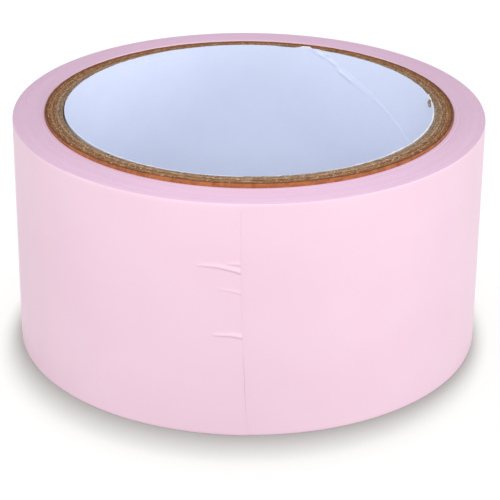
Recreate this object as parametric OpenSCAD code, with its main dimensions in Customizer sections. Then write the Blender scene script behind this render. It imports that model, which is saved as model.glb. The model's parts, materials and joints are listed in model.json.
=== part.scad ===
// Roll of wide film tape on a spiral-wound paper core.
// The roll stands on one end: its axis is +Z, and the origin is on the axis at the lower face.
// The film is wound anticlockwise as seen from above, and its cut end faces -Y.

/* [Paper core] */
// Inside diameter of the core, the fit on a dispenser hub
core_bore_d = 76.2; // [60:0.1:90]
// Length of the core along its axis
core_len = 50.6; // [44:0.1:60]
// Thickness of the white liner paper that faces the bore
liner_t = 0.2; // [0.1:0.05:0.5]
// Thickness of one greyboard ply
ply_t = 0.6; // [0.3:0.05:0.9]
// Number of greyboard plies glued over one another
ply_count = 6; // [3:1:8]
// Thickness of the brown kraft paper that the tape is wound on
wrap_t = 0.4; // [0.2:0.05:0.8]

/* [Tape] */
// Width of the tape
tape_w = 50; // [40:0.5:60]
// Thickness of one turn, which is the film and its adhesive
film_t = 0.12; // [0.08:0.01:0.2]
// Number of turns on the core
turns = 56; // [20:1:90]

/* [Free end] */
// Direction in which the cut end lies, anticlockwise from +X
end_angle = 269; // [0:0.1:360]
// Number of short links that let the free end bend
link_count = 5; // [3:1:8]
// Length of one short link along the film
link_len = 5.5; // [4:0.1:9]
// Length of the creased last link, up to the cut
end_len = 11; // [8:0.1:16]
// Air and adhesive between the lifted film and the turn under it
film_gap = 0.02; // [0.01:0.01:0.03]

/* [Hidden] */
$fn = 180;

// Radii from the bore outwards
bore_r = core_bore_d / 2;
ply_r = bore_r + liner_t;
wrap_r = ply_r + ply_count * ply_t;
core_r = wrap_r + wrap_t;
roll_r = core_r + turns * film_t;

// The last turn climbs by one film thickness. It is two half circles, whose centres
// stand a quarter of that thickness to either side of the axis on the root line.
centre_shift = film_t / 4;
first_half_r = roll_r - 3 * centre_shift;
second_half_r = roll_r - centre_shift;

// The free end lies on the first half, from the root line to the cut
tail_inner_r = first_half_r + film_gap;
tail_outer_r = first_half_r + film_t;
link_angle = arc_angle(link_len);
root_angle = end_angle - link_count * link_angle - arc_angle(end_len);

function arc_angle(length) = length / tail_outer_r * 180 / PI;

// A tube on the axis that stands on the lower face
module tube(inner_r, outer_r, length) {
    difference() {
        cylinder(r = outer_r, h = length);
        translate([0, 0, -1]) cylinder(r = inner_r, h = length + 2);
    }
}

// White paper liner that faces the bore
module core_liner() {
    color("aliceblue") tube(bore_r, ply_r, core_len);
}

// One greyboard ply, counted from the liner outwards
module core_ply(index) {
    inner_r = ply_r + (index - 1) * ply_t;
    color("tan") tube(inner_r, inner_r + ply_t, core_len);
}

// Brown kraft paper around the greyboard
module core_kraft_wrap() {
    color("peru") tube(wrap_r, core_r, core_len);
}

// Half of a round outline, on the +Y side when side is 1 and on the -Y side when it is -1
module half_disc(r, centre_x, side) {
    intersection() {
        translate([centre_x, 0]) circle(r = r);
        translate([-2 * r, side > 0 ? 0 : -2 * r]) square([4 * r, 2 * r]);
    }
}

// All the turns that stay wound, which stick to one another as one solid ring
module tape_roll() {
    color("pink")
    rotate([0, 0, root_angle])
    linear_extrude(height = tape_w)
    difference() {
        union() {
            half_disc(first_half_r, -centre_shift, 1);
            half_disc(second_half_r, centre_shift, -1);
        }
        circle(r = core_r);
    }
}

// A length of the free end, between two angles that start at the root line
module film_link(from_angle, to_angle) {
    reach = 2 * tail_outer_r;
    start = from_angle + arc_angle(film_gap);
    color("lightpink")
    rotate([0, 0, root_angle])
    translate([-centre_shift, 0, 0])
    linear_extrude(height = tape_w)
    intersection() {
        difference() {
            circle(r = tail_outer_r);
            circle(r = tail_inner_r);
        }
        polygon([
            [0, 0],
            reach * [cos(start), sin(start)],
            reach * [cos(to_angle), sin(to_angle)]
        ]);
    }
}

// One short link, counted from the root towards the cut
module tape_tail(index) {
    film_link((index - 1) * link_angle, index * link_angle);
}

// The creased last link, which ends at the cut
module tape_end() {
    film_link(link_count * link_angle, link_count * link_angle + arc_angle(end_len));
}

core_liner();
for (i = [1:ply_count])
    core_ply(i);
core_kraft_wrap();
tape_roll();
for (i = [1:link_count])
    tape_tail(i);
tape_end();
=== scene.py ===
import json
import math

import bmesh
import bpy
from mathutils import Matrix, Vector, noise


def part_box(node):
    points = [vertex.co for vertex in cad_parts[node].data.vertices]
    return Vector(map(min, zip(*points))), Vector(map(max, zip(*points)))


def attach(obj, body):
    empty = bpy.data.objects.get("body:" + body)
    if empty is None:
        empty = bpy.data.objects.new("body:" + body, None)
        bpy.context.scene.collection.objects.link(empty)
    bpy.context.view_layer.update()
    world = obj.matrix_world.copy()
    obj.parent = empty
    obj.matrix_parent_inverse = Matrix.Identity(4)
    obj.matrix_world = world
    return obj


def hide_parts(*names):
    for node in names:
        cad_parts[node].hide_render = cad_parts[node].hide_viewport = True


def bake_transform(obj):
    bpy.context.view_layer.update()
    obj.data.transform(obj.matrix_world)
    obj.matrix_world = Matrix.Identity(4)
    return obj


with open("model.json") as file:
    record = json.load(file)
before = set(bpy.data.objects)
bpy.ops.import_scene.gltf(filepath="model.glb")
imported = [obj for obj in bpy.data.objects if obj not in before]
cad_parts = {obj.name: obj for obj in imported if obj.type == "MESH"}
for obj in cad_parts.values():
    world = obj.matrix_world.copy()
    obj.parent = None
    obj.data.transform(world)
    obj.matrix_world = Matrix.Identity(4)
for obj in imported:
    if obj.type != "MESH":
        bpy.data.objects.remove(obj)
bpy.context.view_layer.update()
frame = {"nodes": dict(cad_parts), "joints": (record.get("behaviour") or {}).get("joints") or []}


# ---- Camera ----------------------------------------------------------------------------------
# A long lens in front of the roll and above its upper end, tipped down at it, so that the end
# shows as a flat ellipse over the whole front of the film.
mm = 0.001
camera_place = (0, -383.5 * mm, 197.6 * mm)
tipped_down = math.radians(25.19)
swung_round = math.radians(-0.06)
leaning = math.radians(0.49)
camera_data = bpy.data.cameras.new("camera")
camera_data.lens = 141.9
camera_data.sensor_width = 36
camera_data.clip_start = 10 * mm
camera = bpy.data.objects.new("camera", camera_data)
bpy.context.scene.collection.objects.link(camera)
bpy.context.scene.camera = camera
camera.matrix_world = (
    Matrix.Translation(camera_place)
    @ Matrix.Rotation(swung_round, 4, "Z")
    @ Matrix.Rotation(math.radians(90) - tipped_down, 4, "X")
    @ Matrix.Rotation(leaning, 4, "Z")
)
bpy.context.scene.view_settings.view_transform = "Standard"


# ---- Floor and light -------------------------------------------------------------------------
# A white table top under an even white room. Soft boxes stand at both sides of the roll, low down
# and in front, and leave the table out. Two more hang high over the table and light nothing else,
# which leaves a soft shadow at the foot.
def add_node(tree, kind, inputs=(), **settings):
    """A new node; inputs gives each socket, by name or number, a value or the socket that feeds it."""
    made = tree.nodes.new(kind)
    for key, value in settings.items():
        setattr(made, key, value)
    for socket, value in dict(inputs).items():
        if isinstance(value, bpy.types.NodeSocket):
            tree.links.new(value, made.inputs[socket])
        else:
            made.inputs[socket].default_value = value
    return made


def new_surface(name, inputs):
    """A material whose shader takes these inputs, with its node tree and that shader."""
    material = bpy.data.materials.new(name)
    material.use_nodes = True
    shader = material.node_tree.nodes["Principled BSDF"]
    for socket, value in inputs.items():
        shader.inputs[socket].default_value = value
    return material, material.node_tree, shader


sharp_corner = math.radians(50)


def new_object(name, mesh, *materials):
    """An object at the origin with this bmesh, smooth but for its corners."""
    data = bpy.data.meshes.new(name)
    mesh.to_mesh(data)
    mesh.free()
    data.shade_smooth()
    data.set_sharp_from_angle(angle=sharp_corner)
    for material in materials:
        data.materials.append(material)
    made = bpy.data.objects.new(name, data)
    bpy.context.scene.collection.objects.link(made)
    return made


roll_middle = Vector((0, 0, 25 * mm))


def soft_box(name, place, width, depth, power, receivers):
    """A soft rectangular light turned to the roll, which lights only what its receivers allow."""
    data = bpy.data.lights.new(name, "AREA")
    data.shape = "RECTANGLE"
    data.size = width
    data.size_y = depth
    data.energy = power
    light = bpy.data.objects.new(name, data)
    light.location = place
    light.rotation_euler = (roll_middle - Vector(place)).to_track_quat("-Z", "Y").to_euler()
    light.light_linking.receiver_collection = receivers
    bpy.context.scene.collection.objects.link(light)


table_white, _, _ = new_surface(
    "table_white", {"Base Color": (0.71, 0.72, 0.72, 1), "Roughness": 0.9, "Specular IOR Level": 0}
)
table_mesh = bmesh.new()
bmesh.ops.create_grid(table_mesh, x_segments=1, y_segments=1, size=3)
table = new_object("table", table_mesh, table_white)
table.visible_diffuse = False

table_alone = bpy.data.collections.new("table_alone")
table_alone.objects.link(table)
all_but_table = bpy.data.collections.new("all_but_table")
all_but_table.objects.link(table)
all_but_table.collection_objects[0].light_linking.link_state = "EXCLUDE"

room = bpy.data.worlds.new("room")
room.use_nodes = True
room_light = room.node_tree.nodes["Background"].inputs
room_light["Color"].default_value = (1, 1, 1, 1)
room_light["Strength"].default_value = 0.56
bpy.context.scene.world = room

soft_box("left_box", (-0.9, -0.05, 0.25), 0.4, 0.4, 1.58, all_but_table)
soft_box("right_box", (0.9, -0.05, 0.25), 0.4, 0.4, 2.6, all_but_table)
soft_box("left_low_box", (-0.8, -0.4, 0.12), 0.4, 0.4, 0.24, all_but_table)
soft_box("right_low_box", (0.8, -0.4, 0.12), 0.4, 0.4, 0.5, all_but_table)
soft_box("front_box", (0, -0.24, 0.18), 0.12, 0.12, 0.32, all_but_table)
soft_box("table_strip", (0.02, 0.2, 3.0), 0.12, 1.4, 22.2, table_alone)
soft_box("table_sheet", (0.03, 0.2, 3.0), 0.32, 0.8, 63, table_alone)


# ---- Core liner ------------------------------------------------------------------------------
# Thin white paper that faces the bore, one strip wound in a helix and glued down. Its seam climbs
# round the bore, with small wrinkles beside it, and the saw that cut the core to length left the
# rim torn white on one side, with a lip where the seam ends.
def radii(node):
    """The inner and the outer radius of a CAD ring, from its own corners."""
    from_axis = [math.hypot(vert.co.x, vert.co.y) for vert in frame["nodes"][node].data.vertices]
    return min(from_axis), max(from_axis)


def polar(point):
    """A point's distance from the axis and its direction round it."""
    return math.hypot(point.x, point.y), math.atan2(point.y, point.x)


def turned(mesh, section, whole_turn, steps, slices=30):
    """Spins a closed section (radius, height) round the axis: one slice of the turn, then its copies."""
    corners = [mesh.verts.new((radius, 0, height)) for radius, height in section]
    sides = [mesh.edges.new(pair) for pair in zip(corners, corners[1:] + corners[:1])]
    about = {"cent": (0, 0, 0), "axis": (0, 0, 1)}
    bmesh.ops.spin(mesh, geom=corners + sides, angle=whole_turn / slices, steps=steps // slices, **about)
    rest_of_turn = whole_turn * (slices - 1) / slices
    slice_geom = mesh.verts[:] + mesh.edges[:] + mesh.faces[:]
    bmesh.ops.spin(mesh, geom=slice_geom, angle=rest_of_turn, steps=slices - 1, use_duplicate=True, **about)
    bmesh.ops.remove_doubles(mesh, verts=mesh.verts, dist=0.0001 * mm)


def ring(section, steps):
    """A closed ring, whose section is given as its corners (radius, height) in order."""
    mesh = bmesh.new()
    turned(mesh, section, math.tau, steps)
    bmesh.ops.recalc_face_normals(mesh, faces=mesh.faces)
    return mesh


def bump(distance, width):
    """A smooth hump: 1 at distance 0, and next to nothing past twice the width."""
    return math.exp(-((distance / width) ** 2))


def put(vert, radius, angle, height):
    """Places a vertex by its distance from the axis, its direction and its height."""
    vert.co = (radius * math.cos(angle), radius * math.sin(angle), height)


hair = 0.01 * mm
bore_radius, liner_radius = radii("core_liner")
core_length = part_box("core_liner")[1].z
torn_side = math.radians(-25)
lip_middle = math.radians(70.5)
nick_angle = math.radians(77)
burr_angle = math.radians(8.5)
lap_rise = 18.9 * mm
rim_tear = 0.16 * mm
left_rim_sunk = 0.12 * mm
lip_curl = 0.25 * mm
nick_depth = 0.25 * mm
burr_height = 0.3 * mm
rim_short = 0.13 * mm
rim_askew = 0.15 * mm

liner_rows = 84
liner_steps = 900
liner_heights = [core_length * math.sin(math.pi / 2 * row / liner_rows) for row in range(liner_rows + 1)]
bore_wall = [(bore_radius, height) for height in liner_heights]
liner = ring(bore_wall + [(liner_radius, core_length), (liner_radius, 0)], liner_steps)
wrinkles = [
    {"angle": 56.8, "height": 46.2, "length": 1.7, "width": 0.36, "rise": 0.42},
    {"angle": 53.5, "height": 45.0, "length": 1.1, "width": 0.34, "rise": 0.3},
    {"angle": 60.8, "height": 48.3, "length": 1.5, "width": 0.34, "rise": 0.3},
    {"angle": 65.0, "height": 49.6, "length": 0.8, "width": 0.4, "rise": 0.4},
    {"angle": 62.6, "height": 49.9, "length": 0.5, "width": 0.3, "rise": 0.25},
    {"angle": 48.5, "height": 43.5, "length": 2.4, "width": 0.4, "rise": 0.12},
]
lap_slope = math.atan(lap_rise / bore_radius)


def wrinkle_lift(angle, height):
    """How far the small wrinkles beside the lap lift the paper into the bore."""
    lift = 0.0
    for wrinkle in wrinkles:
        across = (angle - math.radians(wrinkle["angle"])) * bore_radius
        up = height - wrinkle["height"] * mm
        along = across * math.cos(lap_slope) + up * math.sin(lap_slope)
        beside = up * math.cos(lap_slope) - across * math.sin(lap_slope)
        hump = bump(along, wrinkle["length"] * mm) * bump(beside, wrinkle["width"] * mm)
        lift += wrinkle["rise"] * mm * hump
    return lift


for vert in liner.verts:
    radius, angle = polar(vert.co)
    height = vert.co.z
    inside = radius < bore_radius + hair
    spot = Vector((math.cos(angle), math.sin(angle), 0)) * bore_radius + Vector((0, 0, height))
    below_rim = core_length - height
    from_lip = angle - lip_middle
    torn = 0.25 + 0.75 * max(0, math.cos(angle - torn_side)) ** 3
    torn *= 0.8 + 0.9 * noise.noise(spot * 260)
    lift = 0.0
    if inside:
        lift = 0.02 * mm * noise.noise(spot * 90) + 0.008 * mm * noise.noise(spot * 300)
        lift += wrinkle_lift(angle, height)
        lift += 0.1 * mm * torn * bump(below_rim, 0.5 * mm) * (0.5 + noise.noise(spot * 900))
    if below_rim < hair:
        ragged = noise.noise(spot * 1100) + 0.7 * noise.noise(spot * 2600)
        height += rim_tear * torn * (ragged + 0.5) - left_rim_sunk * max(0, -math.cos(angle))
        lift -= 0 if inside else 0.1 * mm * torn * max(0, 0.4 + ragged)
        lip_height = 0.5 * mm if inside else 0.34 * mm
        height += lip_height * bump(from_lip, math.radians(2.8)) * (1 + 0.6 * ragged)
        lift -= lip_curl * bump(from_lip, math.radians(2.2)) if inside else 0
        height -= nick_depth * bump(angle - nick_angle, math.radians(3))
        height += burr_height * bump(angle - burr_angle, math.radians(2)) * (1 + ragged)
    height *= 1 - (rim_short + rim_askew * math.sin(angle)) / core_length
    put(vert, (bore_radius if inside else liner_radius) - lift, angle, height)

lap_top_angle = math.radians(70)
lap_step = math.radians(0.6)
lap_above = 3 * mm
lap_short = 0.05 * mm
lap_steps = round((core_length + 2 * lap_above) / lap_rise / lap_step)
lap_top = core_length + lap_above
lap_section = [(-0.12, 1.3), (0, 1.1), (0.02, 0.7), (0.05, 0.3), (0.07, 0.05), (0.03, -0.15), (0, -0.28)]
lap_section += [(-0.12, -0.33)]
lap = bmesh.new()
corners = [lap.verts.new((bore_radius - out * mm, 0, lap_top + up * mm)) for out, up in lap_section]
sides = [lap.edges.new(pair) for pair in zip(corners, corners[1:] + corners[:1])]
bmesh.ops.spin(
    lap,
    geom=corners + sides,
    cent=(0, 0, 0),
    axis=(0, 0, 1),
    dvec=(0, 0, -lap_rise * lap_step),
    angle=-lap_step * lap_steps,
    steps=lap_steps,
)
lap_start = lap_top_angle + lap_above / lap_rise
bmesh.ops.rotate(lap, verts=lap.verts, cent=(0, 0, 0), matrix=Matrix.Rotation(lap_start, 3, "Z"))
for vert in lap.verts:
    radius, angle = polar(vert.co)
    out = bore_radius - radius
    if out > 0.001 * mm:
        wander = 0.75 + 1.1 * noise.noise(vert.co * 190) + 0.8 * bump(core_length - vert.co.z, 7 * mm)
        out *= max(0.15, wander)
    put(vert, bore_radius - out, angle, vert.co.z)
for level, facing in ((core_length - lap_short, 1), (lap_short, -1)):
    whole = lap.verts[:] + lap.edges[:] + lap.faces[:]
    level_place = (0, 0, level)
    bmesh.ops.bisect_plane(lap, geom=whole, plane_co=level_place, plane_no=(0, 0, facing), clear_outer=True)
    bmesh.ops.holes_fill(lap, edges=[edge for edge in lap.edges if edge.is_boundary], sides=0)
bmesh.ops.recalc_face_normals(lap, faces=lap.faces)


def cloudy(tree, place, scale, detail, roughness=0.5):
    """An uneven pattern from 0 to 1 at this place, finer the greater its scale."""
    inputs = {"Vector": place, "Scale": scale, "Detail": detail, "Roughness": roughness}
    return add_node(tree, "ShaderNodeTexNoise", inputs).outputs["Fac"]


def two_tones(tree, pattern, start, dark, end, light):
    """A colour that runs from dark to light while the pattern runs from start to end."""
    ramp = add_node(tree, "ShaderNodeValToRGB", {0: pattern})
    first, last = ramp.color_ramp.elements
    first.position = start
    first.color = (*dark, 1)
    last.position = end
    last.color = (*light, 1)
    return ramp.outputs["Color"]


def add_grain(tree, shader, pattern, strength, height):
    """Fine fibres or ripples that stand out of the surface by up to this height."""
    inputs = {"Height": pattern, "Strength": strength, "Distance": height}
    grain = add_node(tree, "ShaderNodeBump", inputs)
    tree.links.new(grain.outputs["Normal"], shader.inputs["Normal"])


liner_paper, tree, shader = new_surface("liner_paper", {"Roughness": 0.62, "Specular IOR Level": 0.3})
place = add_node(tree, "ShaderNodeTexCoord").outputs["Object"]
cloud = cloudy(tree, place, 130.0, 5.0, 0.6)
tone = two_tones(tree, cloud, 0.2, (0.68, 0.735, 0.90), 0.8, (0.715, 0.77, 0.935))
# Painted shade: the paper's colour is scaled down from the rim towards 12 mm above the foot, standing in for
# the light that fails deeper in the bore.
up_the_bore = add_node(tree, "ShaderNodeSeparateXYZ", {0: place}).outputs["Z"]
painted_shade_span = {0: up_the_bore, 1: 12 * mm, 2: 50 * mm, 3: 0.92, 4: 1.02}
painted_shade_factor = add_node(tree, "ShaderNodeMapRange", painted_shade_span).outputs[0]
painted_depth_shade = add_node(tree, "ShaderNodeVectorMath", {0: tone, "Scale": painted_shade_factor}, operation="SCALE").outputs[0]
tree.links.new(painted_depth_shade, shader.inputs["Base Color"])
add_grain(tree, shader, cloudy(tree, place, 2600.0, 4.0, 0.7), 0.35, 0.03 * mm)

torn_paper, _, _ = new_surface(
    "torn_paper", {"Base Color": (0.8, 0.78, 0.83, 1), "Roughness": 0.8, "Specular IOR Level": 0.2}
)
white_below = 0.42
for face in liner.faces:
    middle = face.calc_center_median()
    _, angle = polar(middle)
    frayed = 0.35 + 1.5 * noise.noise(middle * 260)
    torn = frayed * max(0, math.cos(angle - torn_side)) ** 4
    torn += bump(angle - lip_middle, math.radians(3)) + 0.7 * bump(angle - burr_angle, math.radians(2))
    face.material_index = 1 if middle.z > core_length + (0.06 - white_below * torn) * mm else 0
liner_piece = new_object("liner_paper_tube", liner, liner_paper, torn_paper)
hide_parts("core_liner")
lap_piece = new_object("liner_paper_lap", lap, liner_paper)
bore_side = bpy.data.collections.new("bore_side")
for piece in (liner_piece, lap_piece):
    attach(piece, "roll")
    bore_side.objects.link(piece)
soft_box("bore_box", (0, -0.38, 0.85), 0.4, 0.4, 1.3, bore_side)


# ---- Greyboard plies -------------------------------------------------------------------------
# Strips of recycled greyboard, each wound over the last in a helix and glued. Only their sawn
# ends show: rough and fibrous, greyer by the bore and browner outside, with glue lines between. The
# saw went through a little out of square, and left a tuft of torn board at the edge of the bore.
def polar_place(tree, stretch):
    """Object coordinates, with the distance from the axis stretched beside the way round it."""
    place = add_node(tree, "ShaderNodeTexCoord").outputs["Object"]
    flat = add_node(tree, "ShaderNodeVectorMath", {0: place, 1: (1, 1, 0)}, operation="MULTIPLY").outputs[0]
    distance = add_node(tree, "ShaderNodeVectorMath", {0: flat}, operation="LENGTH").outputs["Value"]
    way = add_node(tree, "ShaderNodeVectorMath", {0: flat}, operation="NORMALIZE").outputs[0]
    inputs = {0: way, "Scale": liner_radius}
    round_way = add_node(tree, "ShaderNodeVectorMath", inputs, operation="SCALE").outputs[0]
    outwards = add_node(tree, "ShaderNodeMath", {0: distance, 1: stretch}, operation="MULTIPLY").outputs[0]
    height = add_node(tree, "ShaderNodeSeparateXYZ", {0: place}).outputs["Z"]
    third = add_node(tree, "ShaderNodeMath", {0: outwards, 1: height}, operation="ADD").outputs[0]
    lifted = add_node(tree, "ShaderNodeCombineXYZ", {2: third}).outputs[0]
    return add_node(tree, "ShaderNodeVectorMath", {0: round_way, 1: lifted}, operation="ADD").outputs[0]


def blend_of(first, second, share):
    """The colour that lies share of the way from first to second."""
    return tuple(a + (b - a) * share for a, b in zip(first, second))


def board(name, dark, light, fleck, stretch):
    """Sawn board: streaks that run along the ply between dark and light, with pale and dark flecks."""
    material, tree, shader = new_surface(name, {"Roughness": 0.85, "Specular IOR Level": 0.15})
    place = polar_place(tree, stretch)
    tone = two_tones(tree, cloudy(tree, place, 900.0, 6.0, 0.65), 0.32, dark, 0.66, light)
    specks = cloudy(tree, place, 1500.0, 2.0)
    pale = add_node(tree, "ShaderNodeMapRange", {0: specks, 1: 0.62, 2: 0.69}).outputs[0]
    deep = add_node(tree, "ShaderNodeMapRange", {0: specks, 1: 0.36, 2: 0.29}).outputs[0]
    hollow = blend_of(dark, (0, 0, 0), 0.45)
    inputs = {"Factor": pale, 6: tone, 7: (*fleck, 1)}
    lighter = add_node(tree, "ShaderNodeMix", inputs, data_type="RGBA").outputs[2]
    inputs = {"Factor": deep, 6: lighter, 7: (*hollow, 1)}
    darker = add_node(tree, "ShaderNodeMix", inputs, data_type="RGBA").outputs[2]
    tree.links.new(darker, shader.inputs["Base Color"])
    add_grain(tree, shader, cloudy(tree, place, 3000.0, 5.0, 0.7), 0.8, 0.08 * mm)
    return material


sawn_short = 0.25 * mm
sawn_askew = 0.55 * mm


def out_of_square(angle):
    """How far the sawn end stands above the core's plain height: above it in front, below it behind."""
    return -sawn_short - sawn_askew * math.sin(angle)


ply_nodes = sorted(name for name in frame["nodes"] if name.startswith("core_ply_"))
ply_bands = 5
core_steps = 1080
worn_depth = 0.11 * mm
glue_line_depth = 0.1 * mm
parting_depth = 1.3 * mm
board_nick_depth = 1.1 * mm
nicked_plies = 3
ply_tones = (1.0, 0.8, 1.08, 0.68, 0.95, 0.74)
inmost_dark, outmost_dark = (0.17, 0.11, 0.075), (0.19, 0.07, 0.024)
inmost_light, outmost_light = (0.54, 0.40, 0.275), (0.56, 0.25, 0.095)
pale_fleck = (0.74, 0.62, 0.47)
for number, node in enumerate(ply_nodes):
    inner, outer = radii(node)
    lines = [inner + (outer - inner) * band / ply_bands for band in range(ply_bands + 1)]
    ply = ring([(line, core_length) for line in lines] + [(line, 0) for line in reversed(lines)], core_steps)
    for vert in ply.verts:
        radius, angle = polar(vert.co)
        spot = Vector((math.cos(angle), math.sin(angle), 0)) * 0.04 + Vector((0, 0, 2.5 * radius + number))
        worn = 0.5 + 0.5 * noise.noise(spot * 160)
        worn += 0.7 * noise.noise(spot * 900) + 0.5 * noise.noise(spot * 2500)
        at_edge = max(bump(radius - inner, 0.06 * mm), bump(outer - radius, 0.06 * mm))
        depth = worn_depth * worn + glue_line_depth * at_edge
        if number == 0:
            parted = 0.08 + 0.92 * max(0, -math.cos(angle))
            depth += parting_depth * parted * bump(radius - inner, 0.3 * mm)
        if number < nicked_plies:
            depth += board_nick_depth * bump(angle - nick_angle, math.radians(4))
        sawn_end = core_length + out_of_square(angle)
        put(vert, radius, angle, sawn_end - depth if vert.co.z > core_length / 2 else max(0, depth))
    share = number / (len(ply_nodes) - 1)
    tone = ply_tones[number]
    surface = board(
        f"greyboard_{number + 1}",
        [tone * part for part in blend_of(inmost_dark, outmost_dark, share)],
        [tone * part for part in blend_of(inmost_light, outmost_light, share)],
        pale_fleck,
        3.0 + 0.3 * number,
    )
    ply_piece = new_object(f"greyboard_ply_{number + 1}", ply, surface)
    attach(ply_piece, "roll")
    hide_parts(node)

tuft_radius = 0.5 * mm
tuft_angle = math.radians(4.5)
tuft = bmesh.new()
bmesh.ops.create_icosphere(tuft, subdivisions=5, radius=tuft_radius)
for vert in tuft.verts:
    swell = 1 + 0.5 * noise.noise(vert.co * 1600) + 0.4 * noise.noise(vert.co * 4200)
    vert.co = Vector((0.8 * vert.co.x, 1.1 * vert.co.y, 1.5 * vert.co.z)) * swell
tuft_place = Matrix.Rotation(tuft_angle, 4, "Z") @ Matrix.Translation(
    (bore_radius - 0.25 * mm, 0, core_length - 0.45 * mm)
)
bmesh.ops.transform(tuft, matrix=tuft_place, verts=tuft.verts)
tuft_board = board("greyboard_tuft", (0.20, 0.135, 0.09), (0.52, 0.41, 0.30), (0.74, 0.66, 0.55), 3.0)
tuft_piece = new_object("greyboard_tuft", tuft, tuft_board)
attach(tuft_piece, "roll")


# ---- Kraft wrap ------------------------------------------------------------------------------
# The last strip of the core is smooth orange-brown kraft paper, which the tape is wound on. The
# core was sawn a little longer than the tape is wide and out of square, so a band of the paper's
# outer face stands out of the film, widest in front.
wrap_inner, wrap_outer = radii("core_kraft_wrap")
film_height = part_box("tape_roll")[1].z
band_rows = 12
cut_corner = 0.06 * mm
band_foot = film_height - 1.5 * mm
wrap_band = [band_foot + (core_length - band_foot) * row / band_rows for row in range(band_rows)]
wrap_lines = [wrap_inner + (wrap_outer - wrap_inner) * line / 3 for line in range(4)]
wrap = ring(
    [(wrap_outer, 0)]
    + [(wrap_outer, height) for height in wrap_band]
    + [(wrap_outer, core_length - cut_corner)]
    + [(line, core_length) for line in reversed(wrap_lines)]
    + [(wrap_inner, 0)],
    core_steps,
)
for vert in wrap.verts:
    radius, angle = polar(vert.co)
    spot = Vector((math.cos(angle), math.sin(angle), 0)) * wrap_outer + Vector((0, 0, 2 * radius))
    if vert.co.z > band_foot:
        share = (vert.co.z - band_foot) / (core_length - band_foot)
        rough = 0.6 * noise.noise(spot * 350) + 0.5 * noise.noise(spot * 1500)
        fray = 0.05 * mm * share * noise.noise(spot * 1300)
        uneven = out_of_square(angle) + 0.06 * mm * (rough - 0.4)
        put(vert, radius + fray, angle, vert.co.z + share * uneven)


def kraft(name, dark, light):
    """Kraft paper, with streaks of fibre that run round the core."""
    material, tree, shader = new_surface(name, {"Roughness": 0.6, "Specular IOR Level": 0.3})
    place = polar_place(tree, 2.0)
    tone = two_tones(tree, cloudy(tree, place, 700.0, 5.0, 0.6), 0.3, dark, 0.7, light)
    tree.links.new(tone, shader.inputs["Base Color"])
    add_grain(tree, shader, cloudy(tree, place, 2500.0, 4.0), 0.5, 0.04 * mm)
    return material


# The faces that look up or down, the sawn end among them, take a far darker brown than the outer face. This
# is partly the cut paper's own colour and partly painted shade for the dark line between the core and the
# film.
for face in wrap.faces:
    face.material_index = 1 if abs(face.normal.z) > 0.4 else 0
kraft_face = kraft("kraft_face", (0.30, 0.082, 0.026), (0.56, 0.185, 0.07))
kraft_cut_painted_shade = kraft("kraft_cut_painted_shade", (0.07, 0.024, 0.01), (0.24, 0.095, 0.035))
wrap_piece = new_object("kraft_paper_wrap", wrap, kraft_face, kraft_cut_painted_shade)
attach(wrap_piece, "roll")
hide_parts("core_kraft_wrap")


# ---- Wound film ------------------------------------------------------------------------------
# Soft pink film with adhesive on its inner face, wound on the core in one long spiral. The edge
# of every turn shows on the ends. The first turn dips, the next few stand a hair proud, and from
# there the upper end falls away a little towards the rim.
def film_surface(name, colour, deep, is_edge):
    """Satin film: an even colour that clouds a little towards deep, in rings on the wound edges."""
    material, tree, shader = new_surface(name, {"Roughness": 0.42, "Specular IOR Level": 0.35})
    place = polar_place(tree, 14.0 if is_edge else 1.0)
    cloud = cloudy(tree, place, 60.0, 4.0 if is_edge else 2.0, 0.6)
    tone = two_tones(tree, cloud, 0.35, deep, 0.65, colour)
    tree.links.new(tone, shader.inputs["Base Color"])
    add_grain(tree, shader, cloudy(tree, place, 900.0, 3.0), 0.12, 0.02 * mm)
    return material


film_face = film_surface("film_face", (0.92, 0.66, 0.785), (0.905, 0.64, 0.765), False)
film_edge = film_surface("film_edge", (0.855, 0.585, 0.775), (0.825, 0.557, 0.746), True)

hinges = {joint["child"]: Vector(joint["pos_m"]) for joint in frame["joints"]}
root_radius, root_angle = polar(hinges["tail_1"])
film_thickness = 0.12 * mm
turns = round((root_radius - wrap_outer) / film_thickness)
groove = 0.02 * mm
corner = 0.2 * mm
proud_turns = 8
proud_by = 0.06 * mm
first_turn_dip = 0.2 * mm
turn_drift = 0.03 * mm


def turn_lift(turn):
    """How far the edge of this turn stands above the end of the roll."""
    step = 1 / (1 + math.exp((turn - proud_turns) * 4))
    drift = noise.noise(Vector((turn * 0.13, 0, 5))) + 0.6 * noise.noise(Vector((turn * 0.5, 0, 9)))
    return proud_by * step - first_turn_dip * bump(turn, 1.0) + turn_drift * drift


rim_drop = 0.5 * mm


def end_drop(turn):
    """How far the upper end of the roll has fallen away by this turn, on its way to the rim."""
    return rim_drop * max(0, turn / turns) ** 2


def end_profile(last_turn):
    """Corners across the end, as (radius, depth below the end), a groove and a ridge to a turn."""
    points = []
    for turn in range(last_turn):
        radius = wrap_outer + turn * film_thickness
        points += [(radius, groove), (radius + 0.3 * film_thickness, 0), (radius + 0.6 * film_thickness, 0)]
    radius = wrap_outer + last_turn * film_thickness
    points[-2:] = [(radius - 0.9 * film_thickness, 0)]
    return points + [(radius - 0.4 * film_thickness, 0.3 * corner), (radius, corner), (radius, 3 * corner)]


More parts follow.
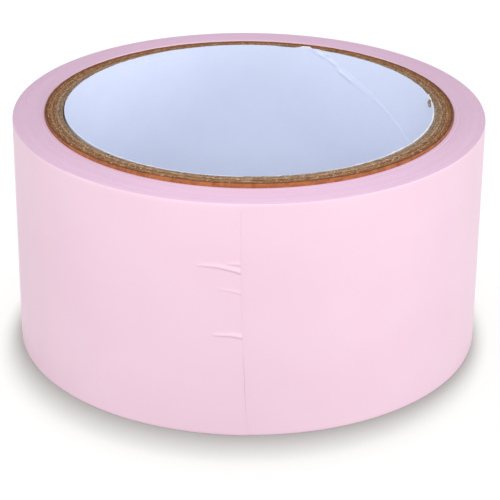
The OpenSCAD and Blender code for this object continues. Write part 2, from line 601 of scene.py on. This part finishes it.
upper = [(radius, film_height - depth) for radius, depth in end_profile(turns - 1)]
lower = [(radius, depth) for radius, depth in reversed(end_profile(turns - 1))]
hidden = 0.7 * mm
almost_whole = 1 - 1e-5
roll_steps = 280
roll = bmesh.new()
section = [(wrap_outer, hidden), (wrap_outer, film_height - hidden)] + upper + lower
turned(roll, section, math.tau * almost_whole, roll_steps, slices=28)
for vert in roll.verts:
    radius, angle = polar(vert.co)
    angle %= math.tau
    height = vert.co.z
    if height < hidden - hair or height > film_height - hidden + hair:
        radius += film_thickness * angle / math.tau
        turn = (radius - wrap_outer) / film_thickness
        up = turn_lift(turn)
        height += up - end_drop(turn) if height > film_height / 2 else max(0, -up)
    put(vert, radius, angle, height)
bmesh.ops.remove_doubles(roll, verts=roll.verts, dist=0.005 * mm)
bmesh.ops.holes_fill(roll, edges=[edge for edge in roll.edges if edge.is_boundary], sides=0)
bmesh.ops.recalc_face_normals(roll, faces=roll.faces)
bmesh.ops.rotate(roll, verts=roll.verts, cent=(0, 0, 0), matrix=Matrix.Rotation(root_angle, 3, "Z"))


def mark_edges(mesh):
    """Gives the edges of the film, which face up or down, their own material."""
    for face in mesh.faces:
        face.material_index = 1 if abs(face.normal.z) > 0.8 else 0


mark_edges(roll)
roll_piece = new_object("wound_film", roll, film_face, film_edge)
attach(roll_piece, "roll")
roll_piece.visible_diffuse = False
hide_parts("tape_roll")


# ---- Free end of the film --------------------------------------------------------------------
# The last stretch of the same strip, from the line where it starts to lift to the cut. It lies
# flat on the roll, but for four creases that run back from the cut, where it went down askew.
chain = ["roll"] + [joint["child"] for joint in frame["joints"]]
link_angles = [polar(hinges[body])[1] for body in chain[1:]]
last_link = (link_angles[1] - link_angles[0]) * 2
cut_angle = link_angles[-1] + last_link
cut_slant = math.radians(0.78)
cut_lift = 0.1 * mm

creases = [
    {"height": 35.6, "climb": 1.05, "level_at": 6.5, "length": 9.0, "rise": 0.3, "width": 0.4},
    {"height": 37.2, "climb": 0.05, "level_at": 2.0, "length": 2.8, "rise": 0.18, "width": 0.32},
    {"height": 31.15, "climb": 0.6, "level_at": 4.5, "length": 4.8, "rise": 0.11, "width": 0.3},
    {"height": 21.75, "climb": 0.35, "level_at": 2.6, "length": 6.0, "rise": 0.27, "width": 0.38},
]


def crease_lift(from_cut, height):
    """How far the film stands off the roll, at this distance from the cut and this height."""
    lift = cut_lift * bump(from_cut, 0.7 * mm) * (0.3 + 0.7 * height / film_height)
    for crease in creases:
        share = max(0, from_cut) / (crease["length"] * mm)
        if share < 1:
            climbed = math.sin(min(2.2, math.pi / 2 * from_cut / (crease["level_at"] * mm)))
            middle = (crease["height"] + crease["climb"] * climbed) * mm
            width = crease["width"] * mm * (1.1 - 0.35 * share) * (1.3 if height > middle else 0.8)
            lift += crease["rise"] * mm * (1 - share) ** 0.4 * bump(height - middle, width)
    return lift


film_top = film_height - end_drop(turns)
fine_row = 0.09 * mm
coarse_row = 0.4 * mm
crease_middles = [(crease["height"] + crease["climb"] / 2) * mm for crease in creases]
film_rows = [corner]
row_height = corner
while row_height < film_top - corner - 0.3 * mm:
    near = min(abs(row_height + 0.2 * mm - middle) for middle in crease_middles)
    row_height += fine_row if near < 1.6 * mm else coarse_row
    film_rows.append(row_height)
film_rows[-1] = film_top - corner


def film_strip(name, start, end, columns):
    """A stretch of film between two angles, closed all round, whose last turn rests on the roll."""
    outside = [(1.0, height) for height in film_rows]
    inside = [(0.0, height) for height in film_rows]
    rim = [(0.6, 0.3 * corner), (0.1, 0.0)]
    loop = outside + [(out, film_top - depth) for out, depth in rim] + list(reversed(inside))
    loop += [(out, depth) for out, depth in reversed(rim)]
    strip = bmesh.new()
    ends = []
    for column in range(columns + 1):
        angle = start + (end - start) * column / columns
        verts = []
        for out, height in loop:
            low = 1 - height / film_height
            slant = cut_slant * (2.4 * low**2 - 1) * (angle - link_angles[-1]) / last_link
            lean = angle + (slant if angle > link_angles[-1] else 0)
            turn = (angle - root_angle) / math.tau
            from_cut = (cut_angle - angle) * root_radius
            radius = root_radius + film_thickness * (turn - 1 + out) + crease_lift(from_cut, height)
            verts.append(strip.verts.new((radius * math.cos(lean), radius * math.sin(lean), height)))
        ends.append([strip.edges.new(pair) for pair in zip(verts, verts[1:] + verts[:1])])
    for first, second in zip(ends, ends[1:]):
        bmesh.ops.bridge_loops(strip, edges=first + second)
    for closing in (ends[0], ends[-1]):
        bmesh.ops.holes_fill(strip, edges=closing, sides=0)
    bmesh.ops.recalc_face_normals(strip, faces=strip.faces)
    mark_edges(strip)
    return new_object(name, strip, film_face, film_edge)


middles = [(a + b) / 2 for a, b in zip(link_angles, link_angles[1:])]
beyond = link_angles[-1] + last_link / 4
borders = [root_angle] + middles + [beyond, cut_angle]
strip_columns = [12] * len(middles) + [22, 44]


for number, (start, end) in enumerate(zip(borders, borders[1:])):
    strip_piece = film_strip(f"free_film_{number + 1}", start, end, strip_columns[number])
    strip_piece.visible_diffuse = False
    if number < 6:
        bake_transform(strip_piece)
    else:
        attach(strip_piece, "tail_end")
    # There are seven strips for six CAD nodes, so the sixth strip has none to replace.
    if number != 5:
        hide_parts("tape_end" if number == 6 else f"tape_tail_{number + 1}")
